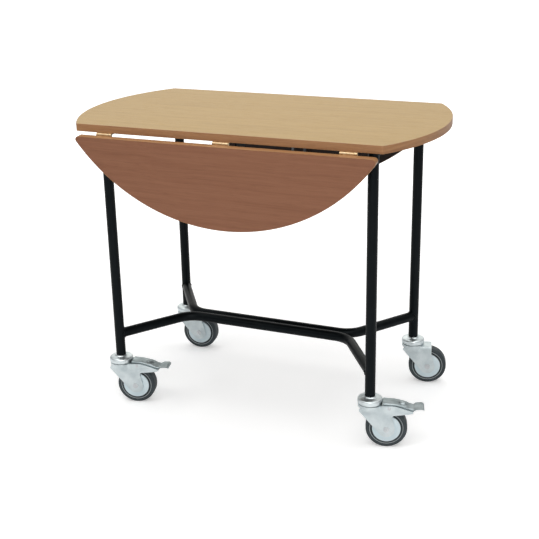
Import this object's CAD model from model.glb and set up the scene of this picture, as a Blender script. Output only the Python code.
import math

import bmesh
import bpy
from mathutils import Matrix, Vector


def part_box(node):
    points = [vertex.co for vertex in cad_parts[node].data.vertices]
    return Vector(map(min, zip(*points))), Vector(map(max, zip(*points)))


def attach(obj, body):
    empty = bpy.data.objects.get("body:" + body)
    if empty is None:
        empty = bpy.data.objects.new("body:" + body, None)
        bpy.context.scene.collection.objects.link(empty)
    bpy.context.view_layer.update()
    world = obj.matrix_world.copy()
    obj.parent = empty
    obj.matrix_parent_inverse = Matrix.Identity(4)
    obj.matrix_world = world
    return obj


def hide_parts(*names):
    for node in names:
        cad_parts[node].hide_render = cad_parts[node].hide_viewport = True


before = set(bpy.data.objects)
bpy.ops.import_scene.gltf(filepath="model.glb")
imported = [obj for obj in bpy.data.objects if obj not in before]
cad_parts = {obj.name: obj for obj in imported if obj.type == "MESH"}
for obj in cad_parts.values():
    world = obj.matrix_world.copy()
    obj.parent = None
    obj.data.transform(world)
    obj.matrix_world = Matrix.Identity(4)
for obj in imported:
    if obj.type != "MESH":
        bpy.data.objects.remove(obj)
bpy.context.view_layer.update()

# ---------- the three boards of the round top ----------
# Chipboard 18 mm thick, with a walnut-patterned laminate above, its grain along the hinge
# lines, and a plain dark backing sheet below. The middle board is screwed to the rails; the
# leaves hang on hinges. Lengths are in metres here, and named angles in degrees.

BOARD_THICK = 0.018
TOP_RADIUS = 0.457
CENTRE_EDGE = 0.252
LEAF_EDGE = 0.255
CORNER_RADIUS = 0.008
BAND_THICK = 0.001
GLUE_LINE = 0.00005
LEAF_PIN = Vector((0, -0.2535, 0.7279))
LEAF_HANG = 94.3


def new_group(name, inputs, outputs):
    """A shader node group with named sockets, its input node and its output node."""
    group = bpy.data.node_groups.new(name, "ShaderNodeTree")
    for label, value in inputs.items():
        kind = "NodeSocketVector" if isinstance(value, tuple) else "NodeSocketFloat"
        group.interface.new_socket(label, in_out="INPUT", socket_type=kind).default_value = value
    for label in outputs:
        group.interface.new_socket(label, in_out="OUTPUT", socket_type="NodeSocketFloat")
    return group, group.nodes.new("NodeGroupInput"), group.nodes.new("NodeGroupOutput")


def node(tree, kind, inputs, **settings):
    """Adds a shader node, sets it up and fills its inputs with values or other sockets."""
    made = tree.nodes.new("ShaderNode" + kind)
    for name, value in settings.items():
        setattr(made, name, value)
    for name, value in inputs.items():
        if isinstance(value, bpy.types.NodeSocket):
            tree.links.new(value, made.inputs[name])
        else:
            made.inputs[name].default_value = value
    return made


def sum_of(tree, kind, a, b):
    """One step of arithmetic on two values or sockets, such as MULTIPLY or SUBTRACT."""
    return node(tree, "Math", {0: a, 1: b}, operation=kind).outputs[0]


def spread(tree, value, low, high, start=0.0, end=1.0):
    """Stretches a value from low..high to start..end and holds it there."""
    return node(tree, "MapRange", {"Value": value, "From Min": low, "From Max": high,
                                   "To Min": start, "To Max": end}).outputs[0]


def mixed(tree, mask, first, second):
    """The first colour where the mask is 0 and the second where it is 1."""
    return node(tree, "Mix", {0: mask, 6: first, 7: second}, data_type="RGBA").outputs[2]


def surface_place(tree, scale):
    """Where a point lies on its own piece, stretched along each axis."""
    place = node(tree, "TexCoord", {}).outputs["Object"]
    return node(tree, "VectorMath", {0: place, 1: scale}, operation="MULTIPLY").outputs[0]


def noise_at(tree, place, scale, detail=4.0, rough=0.55):
    """A soft random value from 0 to 1 at each place."""
    return node(tree, "TexNoise", {"Vector": place, "Scale": scale, "Detail": detail,
                                   "Roughness": rough}).outputs[0]


def placed(tree, group, **values):
    """Puts a node group into a material and sets its inputs."""
    made = tree.nodes.new("ShaderNodeGroup")
    made.node_tree = group
    for name, value in values.items():
        made.inputs[name.replace("_", " ")].default_value = value
    return made.outputs


def new_finish(name, **values):
    """A material with one Principled shader, and that shader's own plain values."""
    finish = bpy.data.materials.new(name)
    finish.use_nodes = True
    shader = finish.node_tree.nodes["Principled BSDF"]
    for label, value in values.items():
        shader.inputs[label.replace("_", " ")].default_value = value
    return finish, finish.node_tree, shader.inputs


def raise_surface(tree, sockets, height, depth):
    """Surface relief from a height, with its depth in metres."""
    bump = node(tree, "Bump", {"Height": height, "Strength": 1.0, "Distance": depth})
    tree.links.new(bump.outputs[0], sockets["Normal"])


def new_piece(name, points, faces, place=Matrix()):
    """A mesh object with merged points, faces turned outwards and smooth shading."""
    mesh = bpy.data.meshes.new(name)
    mesh.from_pydata([place @ Vector(p) for p in points], [], faces)
    work = bmesh.new()
    work.from_mesh(mesh)
    bmesh.ops.remove_doubles(work, verts=work.verts, dist=1e-6)
    bmesh.ops.recalc_face_normals(work, faces=work.faces)
    for face in work.faces:
        face.smooth = True
    work.to_mesh(mesh)
    work.free()
    piece = bpy.data.objects.new(name, mesh)
    bpy.context.scene.collection.objects.link(piece)
    return piece


def fit(piece, body, finish, slot, *stands_for):
    """Gives a piece its finish, its CAD body and any CAD nodes that it stands for."""
    piece.data.materials.append(finish)
    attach(piece, body)
    if stands_for:
        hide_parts(*stands_for)


def flat_normals(piece):
    """Keeps broad faces flat in shading, beside small rounded edges."""
    piece.modifiers.new("Even faces", "WEIGHTED_NORMAL").keep_sharp = True


def arc(centre, radius, start, end, steps):
    """Points along an arc in a plane, between two angles in degrees."""
    return [(centre[0] + radius * math.cos(math.radians(start + (end - start) * i / steps)),
             centre[1] + radius * math.sin(math.radians(start + (end - start) * i / steps)))
            for i in range(steps + 1)]


def centre_outline(inset):
    """The middle board's outline, drawn in by inset: two straight edges, two round ends."""
    big, small = TOP_RADIUS - inset, CORNER_RADIUS - inset
    fy = CENTRE_EDGE - CORNER_RADIUS
    fx = math.sqrt((big - small) ** 2 - fy ** 2)
    turn = math.degrees(math.atan2(fy, fx))
    return (arc((0, 0), big, -turn, turn, 64)
            + arc((fx, fy), small, turn, 90, 8)
            + arc((-fx, fy), small, 90, 180 - turn, 8)
            + arc((0, 0), big, 180 - turn, 180 + turn, 64)
            + arc((-fx, -fy), small, 180 + turn, 270, 8)
            + arc((fx, -fy), small, -90, -turn, 8))


def leaf_outline(inset):
    """The front leaf's outline while it is raised level."""
    big, small = TOP_RADIUS - inset, CORNER_RADIUS - inset
    fy = -(LEAF_EDGE + CORNER_RADIUS)
    fx = math.sqrt((big - small) ** 2 - fy ** 2)
    turn = math.degrees(math.atan2(fy, fx))
    return (arc((fx, fy), small, 90, turn, 12) + arc((0, 0), big, turn, -180 - turn, 96)
            + arc((-fx, fy), small, -180 - turn, -270, 12))


def stacked(outline, levels, closed):
    """Points and side faces of outlines stacked up: levels are (inset, height)."""
    points, faces = [], []
    for inset, height in levels:
        points += [(x, y, height) for x, y in outline(inset)]
    count = len(points) // len(levels)
    rings = len(levels)
    for ring in range(rings if closed else rings - 1):
        for i in range(count):
            j, above = (i + 1) % count, (ring + 1) % rings
            faces.append((ring * count + i, ring * count + j,
                          above * count + j, above * count + i))
    return points, faces, count


def board(name, outline, place):
    """One board up to its banding, with arrises just taken off."""
    inset = BAND_THICK + GLUE_LINE
    points, faces, count = stacked(outline, [(inset, 0.0), (inset, BOARD_THICK)], False)
    faces += [tuple(range(count))[::-1], tuple(range(count, 2 * count))]
    piece = new_piece(name, points, faces, place)
    piece.modifiers.new("Arris", "BEVEL").width = 0.0002
    flat_normals(piece)
    return piece


wood_grain, given, result = new_group(
    "Wood grain", {"Stretch": (1.0, 1.0, 1.0)}, ["Figure", "Streaks", "Pores"])
wander = noise_at(wood_grain, surface_place(wood_grain, (2.2, 5.0, 5.0)), 1.0, 2.0)
shifted = node(wood_grain, "VectorMath",
               {0: surface_place(wood_grain, (1.0, 1.0, 1.0)),
                1: node(wood_grain, "CombineXYZ",
                        {"X": 0.0, "Y": sum_of(wood_grain, "MULTIPLY", wander, 0.03),
                         "Z": sum_of(wood_grain, "MULTIPLY", wander, 0.03)}).outputs[0]},
               operation="ADD").outputs[0]
along_grain = node(wood_grain, "VectorMath", {0: shifted, 1: given.outputs["Stretch"]},
                   operation="MULTIPLY").outputs[0]
for label, scale, low, high in (("Figure", 0.6, 0.3, 0.7), ("Streaks", 2.2, 0.42, 0.66),
                                ("Pores", 5.0, 0.54, 0.7)):
    wood_grain.links.new(
        spread(wood_grain, noise_at(wood_grain, along_grain, scale, 5.0, 0.6), low, high),
        result.inputs[label])


def laminate_finish(name, under, dark, light, streak, pore):
    """Patterned laminate, and a plain dark backing sheet where a face looks along under."""
    finish, tree, shader = new_finish(name, IOR=1.52, Specular_IOR_Level=0.25)
    grain = placed(tree, wood_grain, Stretch=(4.0, 210.0, 210.0))
    colour = mixed(tree, grain["Figure"], dark, light)
    colour = mixed(tree, sum_of(tree, "MULTIPLY", grain["Streaks"], 0.35), colour, streak)
    colour = mixed(tree, sum_of(tree, "MULTIPLY", grain["Pores"], 0.36), colour, pore)
    facing = node(tree, "VectorMath", {0: node(tree, "TexCoord", {}).outputs["Normal"], 1: under},
                  operation="DOT_PRODUCT").outputs["Value"]
    backing = mixed(tree, grain["Figure"], (0.016, 0.0085, 0.006, 1), (0.024, 0.013, 0.009, 1))
    tree.links.new(mixed(tree, spread(tree, facing, 0.6, 0.8), colour, backing),
                   shader["Base Color"])
    tree.links.new(spread(tree, grain["Pores"], 0.0, 1.0, 0.38, 0.52), shader["Roughness"])
    raise_surface(tree, shader, sum_of(tree, "MULTIPLY", grain["Pores"], -1.0), 0.0001)
    return finish


level_laminate = laminate_finish("Laminate faded by daylight", (0, 0, -1),
                                 (0.335, 0.21, 0.066, 1), (0.415, 0.268, 0.09, 1),
                                 (0.45, 0.3, 0.11, 1), (0.22, 0.125, 0.038, 1))
leaf_tones = ((0.222, 0.09, 0.046, 1), (0.272, 0.116, 0.062, 1), (0.305, 0.138, 0.075, 1),
              (0.125, 0.048, 0.026, 1))

top_place = Matrix.Translation((0, 0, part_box("centre_top")[0].z))
hang = (Matrix.Translation(LEAF_PIN) @ Matrix.Rotation(math.radians(LEAF_HANG), 4, "X")
        @ Matrix.Translation(-LEAF_PIN) @ top_place)
leaf_place = {"front": hang, "rear": Matrix.Rotation(math.pi, 4, "Z") @ hang}
fit(board("round_top_centre_board", centre_outline, top_place), "frame", level_laminate,
    "walnut_laminate", "centre_top")
for side, under in (("front", (0, 1, 0)), ("rear", (0, -1, 0))):
    finish = laminate_finish("Laminate of the " + side + " leaf", under, *leaf_tones)
    fit(board(side + "_leaf_board", leaf_outline, leaf_place[side]), side + "_leaf", finish,
        "walnut_laminate", side + "_leaf")

# ---------- edge banding ----------
# A 1 mm strip with the same walnut pattern, glued round each board and trimmed flush. Its
# grain runs along the strip, and its arris is rubbed a little round by hand.

ARRIS = 0.0004


def band(name, outline, place):
    """The strip round a board, with its arrises rubbed."""
    rub = [(ARRIS, 0.0), (ARRIS * 0.3, ARRIS * 0.3), (0.0, ARRIS)]
    levels = ([(BAND_THICK, 0.0)] + rub + [(i, BOARD_THICK - h) for i, h in rub[::-1]]
              + [(BAND_THICK, BOARD_THICK)])
    points, faces, _ = stacked(outline, levels, True)
    piece = new_piece(name, points, faces, place)
    flat_normals(piece)
    return piece


def banding_finish(name, stretch):
    """Walnut pattern drawn out along a strip by stretch."""
    finish, tree, shader = new_finish(name, Roughness=0.38, IOR=1.5)
    grain = placed(tree, wood_grain, Stretch=stretch)
    colour = mixed(tree, grain["Figure"], (0.27, 0.118, 0.045, 1), (0.39, 0.195, 0.08, 1))
    colour = mixed(tree, sum_of(tree, "MULTIPLY", grain["Streaks"], 0.35), colour,
                   (0.46, 0.24, 0.10, 1))
    tree.links.new(mixed(tree, sum_of(tree, "MULTIPLY", grain["Pores"], 0.35), colour,
                         (0.12, 0.05, 0.024, 1)), shader["Base Color"])
    raise_surface(tree, shader, sum_of(tree, "MULTIPLY", grain["Pores"], -1.0), 0.0001)
    return finish


level_band = banding_finish("Banding of the level board", (6.0, 6.0, 160.0))
leaf_band = banding_finish("Banding of a hanging leaf", (6.0, 160.0, 6.0))
fit(band("centre_board_banding", centre_outline, top_place), "frame", level_band,
    "edge_banding", "centre_edge_band")
for side, place in leaf_place.items():
    fit(band(side + "_leaf_banding", leaf_outline, place), side + "_leaf", leaf_band,
        "edge_banding", side + "_leaf_edge_band")

# ---------- tube frame ----------
# Steel tube 25 mm across: four legs, two rails under the top and two bent base tubes that
# meet in the middle. The joints are brazed, and the whole frame is powder coated black.

TUBE_RADIUS = 0.0125
BEAD_RADIUS, BEAD_OUT = 0.0019, 0.0006
RIPPLES, RIPPLE_HEIGHT = 9, 0.10
BASE_FROM_MIDDLE, BASE_SPLAY = 0.0126, 0.116


def dress(finish, *names):
    """Gives CAD nodes that keep their shape a finish."""
    for name in names:
        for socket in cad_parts[name].material_slots:
            socket.material = finish


powder_coat, given, result = new_group(
    "Powder coat", {"Grain": 700.0}, ["Orange peel", "Rubbed"])
peel = node(powder_coat, "TexNoise", {"Vector": surface_place(powder_coat, (1.0, 1.0, 1.0)),
                                      "Scale": given.outputs["Grain"], "Detail": 2.0})
powder_coat.links.new(peel.outputs[0], result.inputs["Orange peel"])
smears = noise_at(powder_coat, surface_place(powder_coat, (1.0, 1.0, 1.0)), 24.0, 6.0, 0.62)
powder_coat.links.new(spread(powder_coat, smears, 0.45, 0.7), result.inputs["Rubbed"])


def coated(name, low, high, rough, depth):
    """Thin dark paint or powder coat with faint orange peel and a few rubbed patches."""
    finish, tree, shader = new_finish(name, Specular_IOR_Level=0.13,
                                      Specular_Tint=(0.78, 0.92, 1.0, 1))
    coat = placed(tree, powder_coat)
    tree.links.new(mixed(tree, coat["Rubbed"], low, high), shader["Base Color"])
    tree.links.new(spread(tree, coat["Rubbed"], 0.0, 1.0, rough, rough + 0.14),
                   shader["Roughness"])
    raise_surface(tree, shader, coat["Orange peel"], depth)
    return finish


frame_coat = coated("Black powder coat", (0.0022, 0.003, 0.0036, 1), (0.005, 0.0062, 0.007, 1),
                    0.32, 0.00012)
dress(frame_coat, "leg_front_left", "leg_front_right", "leg_rear_left", "leg_rear_right",
      "side_rail_left", "side_rail_right", "base_tube_front", "base_tube_rear")


def brazed_joint(name, leg, height, heading):
    """A bead round a tube's end where it meets an upright leg; heading is in degrees."""
    points, faces, around, across = [], [], 72, 10
    ahead = Vector((math.cos(math.radians(heading)), math.sin(math.radians(heading)), 0))
    aside = Vector((-ahead.y, ahead.x, 0))
    line = []
    for i in range(around):
        turn = 2 * math.pi * i / around
        side, up = TUBE_RADIUS * math.cos(turn), TUBE_RADIUS * math.sin(turn)
        out = math.sqrt(max(0.0, (TUBE_RADIUS + BEAD_OUT) ** 2 - side ** 2))
        line.append(Vector((leg.x, leg.y, height)) + ahead * out + aside * side
                    + Vector((0, 0, up)))
    for i, middle in enumerate(line):
        run = (line[(i + 1) % around] - line[i - 1]).normalized()
        out = run.cross(ahead).normalized()
        up = run.cross(out)
        ripple = RIPPLE_HEIGHT * math.sin(RIPPLES * 2 * math.pi * i / around)
        radius = BEAD_RADIUS * (1 + ripple)
        for k in range(across):
            turn = 2 * math.pi * k / across
            points.append(middle + radius * (math.cos(turn) * out + math.sin(turn) * up))
    for i in range(around):
        for k in range(across):
            a, b = i * across, ((i + 1) % around) * across
            faces.append((a + k, a + (k + 1) % across, b + (k + 1) % across, b + k))
    fit(new_piece(name, points, faces), "frame", frame_coat, "black_frame")


base_low, base_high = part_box("base_tube_front")
rail_low, rail_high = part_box("side_rail_left")
for corner in ("front_left", "front_right", "rear_left", "rear_right"):
    low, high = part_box("leg_" + corner)
    leg = (low + high) / 2
    inward_x, inward_y = -math.copysign(1, leg.x), -math.copysign(1, leg.y)
    splay = math.atan2((abs(leg.y) - BASE_FROM_MIDDLE) * inward_y, BASE_SPLAY * inward_x)
    brazed_joint("base_joint_" + corner, leg, (base_low.z + base_high.z) / 2,
                 math.degrees(splay))
    brazed_joint("rail_joint_" + corner, leg, (rail_low.z + rail_high.z) / 2, 90 * inward_y)

# ---------- screws ----------
# Cold-formed pan heads with a cross recess hold the rails and the prop brackets to the
# middle board. They keep a thin bright zinc plating with a few duller patches.

zinc_plate, given, result = new_group(
    "Zinc plate", {"Spangle": 60.0, "Rolling": (1.0, 1.0, 1.0)}, ["Cloud", "Scuffs", "Relief"])
here = surface_place(zinc_plate, (1.0, 1.0, 1.0))
cloud = node(zinc_plate, "TexNoise", {"Vector": here, "Scale": given.outputs["Spangle"],
                                      "Detail": 4.0})
zinc_plate.links.new(spread(zinc_plate, cloud.outputs[0], 0.35, 0.68), result.inputs["Cloud"])
rolled = node(zinc_plate, "VectorMath", {0: here, 1: given.outputs["Rolling"]},
              operation="MULTIPLY").outputs[0]
lines = noise_at(zinc_plate, rolled, 900.0, 3.0)
zinc_plate.links.new(spread(zinc_plate, lines, 0.58, 0.75), result.inputs["Scuffs"])
zinc_plate.links.new(lines, result.inputs["Relief"])


def plated(name, bright, dull, rough, depth, spangle=60.0, rolling=(1.0, 1.0, 0.12)):
    """Plated metal with cloudy patches, and fine scuffs drawn out along the rolling."""
    finish, tree, shader = new_finish(name, Metallic=1.0)
    plate = placed(tree, zinc_plate, Spangle=spangle, Rolling=rolling)
    colour = mixed(tree, plate["Cloud"], bright, dull)
    tree.links.new(mixed(tree, sum_of(tree, "MULTIPLY", plate["Scuffs"], 0.3), colour,
                         tuple(0.7 * c for c in dull[:3]) + (1,)), shader["Base Color"])
    tree.links.new(spread(tree, plate["Cloud"], 0.0, 1.0, rough, rough + 0.12),
                   shader["Roughness"])
    raise_surface(tree, shader, plate["Relief"], depth)
    return finish


screw_plate = plated("Zinc on screws", (0.66, 0.68, 0.69, 1), (0.5, 0.52, 0.54, 1), 0.28, 0.00002,
                     200.0)
dress(screw_plate, "top_fixing_screws", "prop_bracket_screws")

# ---------- leaf hinges ----------
# Six back-flap hinges of rolled steel, brass plated: three knuckles on the fixed flap, two
# on the leaf's flap and a riveted pin. Each flap has two countersunk screws, and the same
# plating is on the screws of the leaves' catches.

brass_plate = plated("Brass plate", (0.90, 0.70, 0.44, 1), (0.80, 0.58, 0.33, 1), 0.34, 0.00002,
                     90.0, (0.1, 1.0, 1.0))
dress(brass_plate, "front_hinge_fixed_flaps", "rear_hinge_fixed_flaps",
      "front_hinge_leaf_flaps", "rear_hinge_leaf_flaps", "hinge_pins")
brass_heads = plated("Brass plate on screws", (0.74, 0.52, 0.27, 1), (0.56, 0.36, 0.17, 1), 0.26,
                     0.00002, 240.0)
dress(brass_heads, "hinge_top_screws", "front_leaf_screws", "rear_leaf_screws")

# ---------- leaf props ----------
# A U of 8 mm round bar swings in two ears of a bent bracket screwed under the middle board.
# Raising a leaf brings the bar's foot up into a saddle on the leaf's underside.

bracket_coat = coated("Black paint on brackets", (0.005, 0.005, 0.0055, 1),
                      (0.012, 0.012, 0.012, 1), 0.36, 0.0001)
dress(bracket_coat, "prop_bracket_front", "prop_bracket_rear", "front_prop_catch",
      "rear_prop_catch")
bar_steel = plated("Dark bar steel", (0.13, 0.132, 0.135, 1), (0.07, 0.071, 0.073, 1), 0.34,
                   0.00004, 45.0)
dress(bar_steel, "front_prop", "rear_prop")

# ---------- castor heads ----------
# Each leg takes a plug-in stem. Under it a zinc-plated steel cap holds a ring of 6 mm balls,
# and the king pin goes down through the cap to the fork. Castor shapes are in millimetres,
# in a frame with the swivel axis at its origin and the wheel trailing along +X.


def castor_place(corner):
    """Puts a castor's own frame under its leg, turned as its wheel stands."""
    low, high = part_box("leg_" + corner)
    axle_low, axle_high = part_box("axle_" + corner)
    leg, axle = (low + high) / 2, (axle_low + axle_high) / 2
    turn = math.atan2(axle.y - leg.y, axle.x - leg.x)
    return (Matrix.Translation((leg.x, leg.y, 0)) @ Matrix.Rotation(turn, 4, "Z")
            @ Matrix.Scale(0.001, 4))


castors = {corner: castor_place(corner)
           for corner in ("front_left", "front_right", "rear_left", "rear_right")}
braked = ("front_left", "front_right")


def turned(profile, steps, place=Matrix(), closed=True):
    """Points and faces of an outline of (radius, height) turned round Z."""
    points = [place @ Vector((r * math.cos(2 * math.pi * i / steps),
                              r * math.sin(2 * math.pi * i / steps), h))
              for i in range(steps) for r, h in profile]
    count = len(profile)
    faces = [(i * count + k, i * count + (k + 1) % count,
              (i + 1) % steps * count + (k + 1) % count, (i + 1) % steps * count + k)
             for i in range(steps) for k in range(count if closed else count - 1)]
    return points, faces


def joined(parts):
    """Several lists of points and faces put into one."""
    points, faces = [], []
    for more_points, more_faces in parts:
        start = len(points)
        points += more_points
        faces += [tuple(start + i for i in face) for face in more_faces]
    return points, faces


stem_plate = plated("Zinc on stems", (0.62, 0.64, 0.65, 1), (0.48, 0.5, 0.51, 1), 0.3, 0.00002)
dress(stem_plate, "castor_stems")
ball_steel = plated("Ball steel", (0.7, 0.7, 0.71, 1), (0.6, 0.6, 0.61, 1), 0.12, 0.000005,
                    120.0)
dress(ball_steel, "swivel_balls")
pressing = plated("Zinc on pressings", (0.75, 0.82, 0.84, 1), (0.61, 0.685, 0.71, 1), 0.4,
                  0.00003, 38.0, (0.15, 1.0, 1.0))
cap_profile = ([(6.2, 112.4), (16.0, 112.4), (27.6, 112.3)]
               + arc((28.4, 113.9), 1.6, -90, 0, 6) + [(30.0, 120.2)]
               + arc((25.6, 120.6), 4.4, 0, 62, 8)
               + [(26.0, 125.2), (22.0, 126.2), (18.0, 126.9), (15.6, 127.6), (14.4, 128.8),
                  (13.9, 129.95), (6.2, 129.95)])
points, faces = joined([turned(cap_profile, 96, place) for place in castors.values()])
caps = new_piece("castor_caps", points, faces)
flat_normals(caps)
cap_plate = plated("Zinc on caps", (0.85, 0.92, 0.94, 1), (0.73, 0.80, 0.82, 1), 0.32, 0.00002,
                   38.0, (0.15, 1.0, 1.0))
fit(caps, "frame", cap_plate, "zinc_pressings", "castor_head_caps")

# ---------- castor forks ----------
# Pressed from 2.5 mm sheet and zinc plated: a round crown under the cap flares down into
# two side plates with large round ends at the axle. The front pair has high plates that
# taper to a point behind and carry the brake pedal between them.

AXLE_X, AXLE_Z = 40.0, 50.0
FOOT_RADIUS = 20.0
PLATE_IN, PLATE_OUT = 19.0, 21.5
PLATE_TOP, BRAKED_TOP = 102.6, 111.6
FLARE_START = 84
CROWN_RADIUS = 28.7


def ramp(value, start, run):
    """Rises evenly from 0 at start to 1 after run, and stays there."""
    return min(1.0, max(0.0, (value - start) / run))


def eased(share):
    """A share from 0 to 1 with a soft start and end."""
    return share * share * (3 - 2 * share)


def plate_edges(with_brake):
    """Front and back edge of a side plate, each as (x, z) from its round foot upwards."""
    front = arc((AXLE_X, AXLE_Z), FOOT_RADIUS, 270, 220.3, 12) + [
        (-25.6, 96.4), (-26.5, 97.8), (-26.4, 99.6), (-25.2, 101.4), (-23.5, PLATE_TOP)]
    back = arc((AXLE_X, AXLE_Z), FOOT_RADIUS, 270, 372, 18)
    if with_brake:
        front += [(-19.0, 103.6), (-17.0, 104.6), (-17.0, 109.4), (20.0, 110.4),
                  (25.0, BRAKED_TOP)]
        back += [(53.0, 82.0), (54.0, 85.0), (57.0, 87.0), (92.0, 91.4), (99.0, 93.0),
                 (102.2, 94.6), (103.0, 96.0), (102.2, 97.8), (66.0, 109.4), (61.0, 110.8),
                 (54.0, BRAKED_TOP)]
    else:
        back += [(50.2, 85.0), (50.0, 90.0), (50.0, PLATE_TOP)]
    return front, back


def at_height(edge, z):
    """How far along X an edge lies at a height."""
    for (x0, z0), (x1, z1) in zip(edge, edge[1:]):
        if z <= z1:
            return x0 + (x1 - x0) * max(0.0, z - z0) / max(z1 - z0, 1e-9)
    return edge[-1][0]


def side_plate(with_brake, side):
    """A side plate as a thick skin that bulges out under the crown."""
    front, back = plate_edges(with_brake)
    heights = ([AXLE_Z - FOOT_RADIUS * math.cos(math.radians(a)) for a in range(0, 90, 7)]
               + list(range(50, 82, 4)) + [82, 85, 87, 88.5, 90, 91.4, 93, 94.6, 96, 97.8, 99.6,
                                           101.2, PLATE_TOP])
    if with_brake:
        heights += [103.6, 104.6, 106, 107.6, 109.4, 110.4, 110.8, BRAKED_TOP]
    columns = 36
    points, faces = [], []
    for shell in (0, 1):
        for z in heights:
            first, last = at_height(front, z), at_height(back, z)
            flare = eased(ramp(z, FLARE_START, PLATE_TOP - FLARE_START))
            for i in range(columns + 1):
                x = first + (last - first) * i / columns
                bulge = max(0.0, math.sqrt(max(0.0, CROWN_RADIUS ** 2 - x * x)) - PLATE_OUT)
                points.append((x, side * ((PLATE_OUT if shell else PLATE_IN) + bulge * flare), z))
    wide, high = columns + 1, len(heights)
    skin = wide * high
    for shell in (0, 1):
        for j in range(high - 1):
            for i in range(columns):
                a = shell * skin + j * wide + i
                faces.append((a, a + 1, a + wide + 1, a + wide))
    rim = ([j * wide for j in range(high)] + [(high - 1) * wide + i for i in range(1, wide)]
           + [j * wide + columns for j in range(high - 2, -1, -1)]
           + list(range(columns - 1, 0, -1)))
    for a, b in zip(rim, rim[1:] + rim[:1]):
        faces.append((a, b, b + skin, a + skin))
    return points, faces


def extruded(outline, start, end, to_point):
    """An outline made into a solid between two distances; to_point places (u, v, distance)."""
    count = len(outline)
    points = [to_point(u, v, d) for d in (start, end) for u, v in outline]
    faces = [tuple(range(count)), tuple(range(2 * count - 1, count - 1, -1))]
    faces += [(i, (i + 1) % count, count + (i + 1) % count, count + i) for i in range(count)]
    return points, faces


def fork_bridge(end):
    """The sheet across the top of the fork, bent down just inside the side plates."""
    outer = arc((-17.5, 102.5), 3.9, 180, 90, 6) + arc((17.5, 102.5), 3.9, 90, 0, 6)
    inner = arc((17.5, 102.5), 1.6, 0, 90, 6) + arc((-17.5, 102.5), 1.6, 90, 180, 6)
    outline = [(-21.4, 99.5)] + outer + [(21.4, 99.5), (19.1, 99.5)] + inner + [(-19.1, 99.5)]
    return extruded(outline, -8.0, end, lambda u, v, d: (d, u, v))


crown_profile = ([(6.1, 102.2), (27.0, 102.2)] + arc((27.6, 103.6), 1.4, -90, 0, 4)
                 + arc((27.4, 108.9), 1.6, 0, 90, 5) + [(6.1, 110.5)])


def rolled_edges(piece, radius):
    """Rounds the sharp edges of a pressing as the press leaves them; metres."""
    rounding = piece.modifiers.new("Rolled edges", "BEVEL")
    rounding.width, rounding.segments = radius, 2
    rounding.limit_method, rounding.angle_limit = "ANGLE", math.radians(50)
    flat_normals(piece)


for corner, place in castors.items():
    has_brake = corner in braked
    parts = [turned(crown_profile, 96), fork_bridge(38.0 if has_brake else 50.0)]
    parts += [side_plate(has_brake, side) for side in (-1, 1)]
    points, faces = joined(parts)
    fork = new_piece("pressed_fork_" + corner, points, faces, place)
    rolled_edges(fork, 0.0006)
    fit(fork, "castor_" + corner, pressing, "zinc_pressings", "fork_" + corner)
rivet_plate = plated("Zinc on rivets", (0.72, 0.75, 0.77, 1), (0.58, 0.61, 0.63, 1), 0.26,
                     0.00002)
dress(rivet_plate, *("axle_" + corner for corner in castors))
dress(rivet_plate, *("pedal_pin_" + corner for corner in braked))

# ---------- thread guards ----------
# A thin dished disc each side of the wheel keeps threads off the axle. It is pressed with
# a rolled rim and one step, and stands still with the fork while the wheel turns.

ACROSS = Matrix.Translation((AXLE_X, 0, AXLE_Z)) @ Matrix.Rotation(math.pi / 2, 4, "X")
BOTH_SIDES = (Matrix(), Matrix.Rotation(math.pi, 4, "X"))

guard_finish, tree, shader = new_finish("Pale guard", IOR=1.5, Coat_Weight=0.3,
                                        Coat_Roughness=0.2)
plate = placed(tree, zinc_plate, Spangle=30.0, Rolling=(1.0, 1.0, 1.0))
tree.links.new(mixed(tree, plate["Cloud"], (0.71, 0.82, 0.865, 1), (0.62, 0.74, 0.79, 1)),
               shader["Base Color"])
tree.links.new(spread(tree, plate["Cloud"], 0.0, 1.0, 0.34, 0.46), shader["Roughness"])
raise_surface(tree, shader, plate["Relief"], 0.00002)

guard_face = ([(4.2, 18.9), (11.0, 18.9), (13.5, 18.3), (16.0, 17.6), (27.0, 17.3), (28.2, 17.15),
               (29.2, 16.75), (30.4, 16.65), (31.2, 16.8), (32.2, 16.95), (33.2, 16.75),
               (33.9, 16.2), (34.0, 15.6), (33.8, 15.1)])
guard_back = [(32.0, 15.3), (30.0, 15.4), (11.0, 15.7), (4.2, 15.7)]
for corner, place in castors.items():
    points, faces = joined([turned(guard_face + guard_back, 96, ACROSS @ flip)
                            for flip in BOTH_SIDES])
    guards = new_piece("dished_guards_" + corner, points, faces, place)
    flat_normals(guards)
    fit(guards, "castor_" + corner, guard_finish, "guard_discs", "thread_guards_" + corner)

# ---------- wheels ----------
# A moulded nylon centre runs on the axle tube. The tyre is grey non-marking rubber moulded
# on to it, with a soft crown and round shoulders. The centre shows as a ring on each side.

core_finish, tree, shader = new_finish("Moulded nylon", IOR=1.5)
coat = placed(tree, powder_coat, Grain=420.0)
tree.links.new(mixed(tree, coat["Rubbed"], (0.34, 0.37, 0.38, 1), (0.26, 0.29, 0.30, 1)),
               shader["Base Color"])
tree.links.new(spread(tree, coat["Rubbed"], 0.0, 1.0, 0.42, 0.58), shader["Roughness"])
raise_surface(tree, shader, coat["Orange peel"], 0.00006)
dress(core_finish, *("wheel_core_" + corner for corner in castors))

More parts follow.
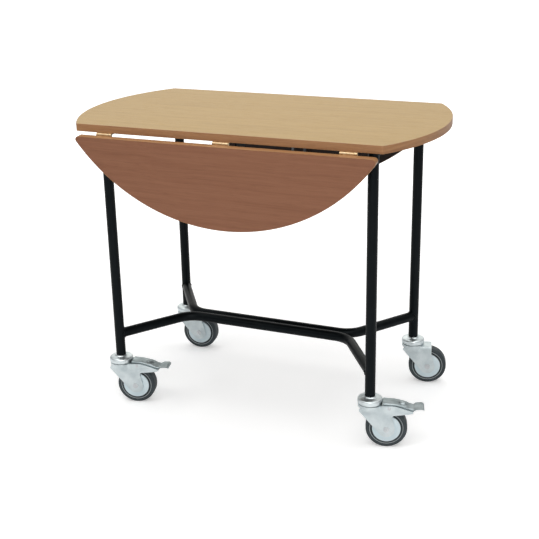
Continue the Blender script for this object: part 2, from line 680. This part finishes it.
rubber, tree, shader = new_finish("Grey rubber", IOR=1.5)
coat = placed(tree, powder_coat, Grain=1300.0)
colour = mixed(tree, coat["Rubbed"], (0.026, 0.037, 0.043, 1), (0.046, 0.06, 0.067, 1))
fluff = noise_at(tree, surface_place(tree, (1.0, 1.0, 1.0)), 150.0, 6.0, 0.7)
tree.links.new(mixed(tree, spread(tree, fluff, 0.6, 0.8, 0.0, 0.3), colour,
                     (0.12, 0.13, 0.135, 1)), shader["Base Color"])
tree.links.new(spread(tree, coat["Rubbed"], 0.0, 1.0, 0.5, 0.66), shader["Roughness"])
raise_surface(tree, shader, coat["Orange peel"], 0.00008)

half_tyre = ([(49.96, 0.5), (49.98, 4.0), (49.8, 8.0)] + arc((44.9, 9.9), 4.95, 10, 78, 10)
             + [(44.0, 14.72), (42.4, 14.55), (41.2, 14.5), (40.9, 14.1), (38.4, 14.1),
                (37.6, 13.7), (34.2, 13.62)])
tyre_profile = [(50.0, 0.0)] + half_tyre + [(r, -h) for r, h in half_tyre[::-1]]
rim_profile = [(39.0, 13.9), (39.0, 14.5), (39.3, 14.8), (39.8, 14.9), (40.3, 14.8),
               (40.6, 14.5), (40.6, 13.9)]
for corner, place in castors.items():
    points, faces = turned(tyre_profile, 128, ACROSS)
    tyre = new_piece("moulded_tyre_" + corner, points, faces, place)
    fit(tyre, "wheel_" + corner, rubber, "grey_tyres", "tyre_" + corner)
    points, faces = joined([turned(rim_profile, 128, ACROSS @ flip) for flip in BOTH_SIDES])
    rim = new_piece("wheel_rim_edges_" + corner, points, faces, place)
    fit(rim, "wheel_" + corner, core_finish, "wheel_cores")

# ---------- brake pedals ----------
# A zinc-plated channel pivots between the plates of each front fork. It steps down to a
# wide ribbed toe for the foot, a boss stiffens it, and the block under it grips the tyre.

PEDAL_HALF, PEDAL_SHEET = 17.0, 2.0
SIDE_DEPTH, SIDE_LOSS, TAPER_START = 10.0, 3.0, 60
TOE_HALF, TOE_START, TOE_SPREAD = 21.0, 103.0, 4.5
CORNER_START, CORNER_RUN, CORNER_CUT = 124, 5.0, 3.5
RIBS_START, RIBS_END, RIB_PITCH, RIB_HEIGHT = 108.0, 124.2, 3.6, 0.35
BOSS_X, BOSS_HALF, BOSS_HEIGHT, BOSS_SHORTEN = 77.0, 9.0, 3.0, 0.8
PIVOT, LUG_RADIUS = (46.0, 106.0), 5.0
BLOCK_START, BLOCK_END, BLOCK_HALF, BLOCK_STEPS = 62.0, 78.0, 10.0, 8
PRESSED_AXLE, BLOCK_RADIUS = (49.8, 49.8), 50.7
pedal_line = [(31.4, 117.0), (33.5, 117.4), (56.0, 116.2), (72.0, 113.0), (84.0, 110.4),
              (88.0, 108.6), (92.0, 106.2), (98.0, 104.2), (103.0, 103.0), (105.5, 103.0),
              (108.0, 103.8), (112.0, 104.4), (122.0, 105.2), (125.5, 104.8), (127.8, 103.0),
              (129.0, 100.6)]


def pedal_channel():
    """The pedal as a thick skin: a strip with turned-down sides and a raised boss."""
    points, faces, line = [], [], []
    for (x0, z0), (x1, z1) in zip(pedal_line, pedal_line[1:]):
        steps = max(1, round((x1 - x0) / (0.9 if x0 > 105 else 2.5)))
        line += [(x0 + (x1 - x0) * i / steps, z0 + (z1 - z0) * i / steps) for i in range(steps)]
    line.append(pedal_line[-1])
    for shell in (0, 1):
        down = PEDAL_SHEET * shell
        for i, (x, z) in enumerate(line):
            x0, z0 = line[max(0, i - 1)]
            x1, z1 = line[min(len(line) - 1, i + 1)]
            run = Vector((x1 - x0, 0, z1 - z0)).normalized()
            up = Vector((-run.z, 0, run.x))
            toe = ramp(x, TOE_START, TOE_SPREAD)
            depth = (SIDE_DEPTH - SIDE_LOSS * ramp(x, TAPER_START, 36)) * (1.0 - toe)
            narrow = 1.0 - 0.06 * ramp(x, TAPER_START, 40)
            wide_by = (TOE_HALF - PEDAL_HALF) * eased(toe)
            wide_by -= CORNER_CUT * max(0.0, (x - CORNER_START) / CORNER_RUN) ** 2
            ridge = 0.0
            if RIBS_START < x < RIBS_END:
                ridge = RIB_HEIGHT * math.sin(2 * math.pi * (x - RIBS_START) / RIB_PITCH)
            half = PEDAL_HALF * narrow + wide_by - down
            bend = max(0.6, 3.0 - down)
            across = [(-half, -depth - 0.01)] + [
                (-half + bend - bend * math.cos(math.radians(a)),
                 -down - bend + bend * math.sin(math.radians(a))) for a in (0, 22, 45, 67, 90)]
            if depth < bend:
                across = [(y, max(h, -depth - down)) for y, h in across]
            flat = half - bend
            across += [(flat * t, -down) for t in (-0.84, -0.68, -0.52, -0.36, -0.2, -0.07)]
            across += [(-y, h) for y, h in across[::-1]]
            for y, h in across:
                from_boss = math.hypot((x - BOSS_X) * BOSS_SHORTEN, y) / BOSS_HALF
                rise = ridge + BOSS_HEIGHT * eased(max(0.0, 1.0 - from_boss ** 4))
                lift = rise if h > -down - 0.01 else 0.0
                points.append(Vector((x, y, z)) + up * (h + lift))
    wide = len(points) // (2 * len(line))
    skin = wide * len(line)
    for shell in (0, 1):
        for j in range(len(line) - 1):
            for i in range(wide - 1):
                a = shell * skin + j * wide + i
                faces.append((a, a + 1, a + wide + 1, a + wide))
    rim = ([j * wide for j in range(len(line))]
           + [(len(line) - 1) * wide + i for i in range(1, wide)]
           + [j * wide + wide - 1 for j in range(len(line) - 2, -1, -1)]
           + list(range(wide - 2, 0, -1)))
    for a, b in zip(rim, rim[1:] + rim[:1]):
        faces.append((a, b, b + skin, a + skin))
    return points, faces


def brake_block():
    """The block, hollowed round the place where the axle lies once the pedal is pressed."""
    lower = []
    for i in range(BLOCK_STEPS + 1):
        x = BLOCK_START + (BLOCK_END - BLOCK_START) / BLOCK_STEPS * i
        rise = math.sqrt(BLOCK_RADIUS ** 2 - (x - PRESSED_AXLE[0]) ** 2)
        lower.append((x, PRESSED_AXLE[1] + rise))
    outline = lower + [(BLOCK_END, 110.6), (BLOCK_START, 113.6)]
    return extruded(outline, -BLOCK_HALF, BLOCK_HALF, lambda u, v, d: (u, d, v))


def pivot_lug(side):
    """The ear of one side of the pedal, round its pivot pin."""
    outline = arc(PIVOT, LUG_RADIUS, 180, 360, 14) + [
        (PIVOT[0] + LUG_RADIUS, 111.0), (PIVOT[0] - LUG_RADIUS, 112.0)]
    return extruded(outline, side * (PEDAL_HALF - PEDAL_SHEET), side * PEDAL_HALF,
                    lambda u, v, d: (u, d, v))


pedal_plate = plated("Zinc on pedals", (0.50, 0.565, 0.585, 1), (0.35, 0.41, 0.43, 1), 0.38,
                     0.00004, 46.0, (0.15, 1.0, 1.0))
for corner in braked:
    points, faces = joined([pedal_channel(), brake_block(), pivot_lug(-1), pivot_lug(1)])
    pedal = new_piece("pressed_pedal_" + corner, points, faces, castors[corner])
    rolled_edges(pedal, 0.0005)
    fit(pedal, "pedal_" + corner, pedal_plate, "pedal_steel", "brake_pedal_" + corner)

# ---------- floor, light and camera ----------
# A plain pale floor that whitens further out and can be seen through from below. A large
# soft panel hangs overhead, a broad one stands behind and a smaller one in front, as in a
# small product studio.

FLOOR_REACH = 60
GLOW_START, GLOW_END, GLOW_NEAR, GLOW_FAR = 0.8, 5.0, 0.32, 0.95
SKY_LIGHT, SKY_SEEN = 0.32, 1.0

floor_finish, tree, shader = new_finish("Studio floor", Roughness=0.9,
                                        Base_Color=(0.93, 0.935, 0.945, 1),
                                        Emission_Strength=1.0)
far = node(tree, "VectorMath", {0: surface_place(tree, (1.0, 1.0, 1.0))}, operation="LENGTH")
glow = spread(tree, far.outputs["Value"], GLOW_START, GLOW_END, GLOW_NEAR, GLOW_FAR)
seen = node(tree, "LightPath", {}).outputs["Is Camera Ray"]
tree.links.new(mixed(tree, sum_of(tree, "MULTIPLY", glow, seen), (0, 0, 0, 1), (1, 1, 1, 1)),
               shader["Emission Color"])
behind = node(tree, "NewGeometry", {}).outputs["Backfacing"]
tree.links.new(sum_of(tree, "SUBTRACT", 1.0, behind), shader["Alpha"])
floor = new_piece("studio_floor",
                  [(-FLOOR_REACH, -FLOOR_REACH, 0), (FLOOR_REACH, -FLOOR_REACH, 0),
                   (FLOOR_REACH, FLOOR_REACH, 0), (-FLOOR_REACH, FLOOR_REACH, 0)],
                  [(0, 1, 2, 3)])
floor.data.materials.append(floor_finish)

studio = bpy.data.worlds.new("Studio")
bpy.context.scene.world = studio
studio.use_nodes = True
sky = studio.node_tree.nodes["Background"]
sky.inputs["Color"].default_value = (1, 1, 1, 1)
seen = node(studio.node_tree, "LightPath", {}).outputs["Is Camera Ray"]
studio.node_tree.links.new(spread(studio.node_tree, seen, 0.0, 1.0, SKY_LIGHT, SKY_SEEN),
                           sky.inputs["Strength"])


def soft_panel(name, place, target, width, height, power, colour):
    """A rectangular lamp at place, turned to face target."""
    lamp = bpy.data.lights.new(name, "AREA")
    lamp.shape, lamp.size, lamp.size_y = "RECTANGLE", width, height
    lamp.energy, lamp.color = power, colour
    holder = bpy.data.objects.new(name, lamp)
    bpy.context.scene.collection.objects.link(holder)
    holder.location = place
    holder.rotation_euler = (Vector(target) - Vector(place)).to_track_quat("-Z", "Y").to_euler()


soft_panel("overhead_panel", (0.0, -0.4, 3.4), (0, -0.2, 0.3), 5.0, 5.0, 130, (1, 0.99, 0.97))
soft_panel("rear_panel", (-1.2, 3.6, 1.9), (0, 0, 0.6), 5.0, 2.6, 32, (1, 0.98, 0.92))
soft_panel("front_panel", (1.6, -4.0, 2.2), (0, 0, 0.4), 3.0, 2.0, 46, (1, 0.98, 0.95))

view_camera = bpy.data.cameras.new("view_camera")
view_camera.lens, view_camera.sensor_width = 69.9, 36.0
camera = bpy.data.objects.new("view_camera", view_camera)
bpy.context.scene.collection.objects.link(camera)
right = Vector((0.92132811, 0.38833388, -0.01874333))
up = Vector((-0.1145974, 0.3173202, 0.94136886))
back = Vector((0.37151306, -0.86516165, 0.33685807))
camera.matrix_world = Matrix.Translation((1.01126, -2.34272, 1.25432)) @ Matrix(
    (right, up, back)).transposed().to_4x4()
bpy.context.scene.camera = camera
bpy.context.scene.view_settings.view_transform = "Standard"
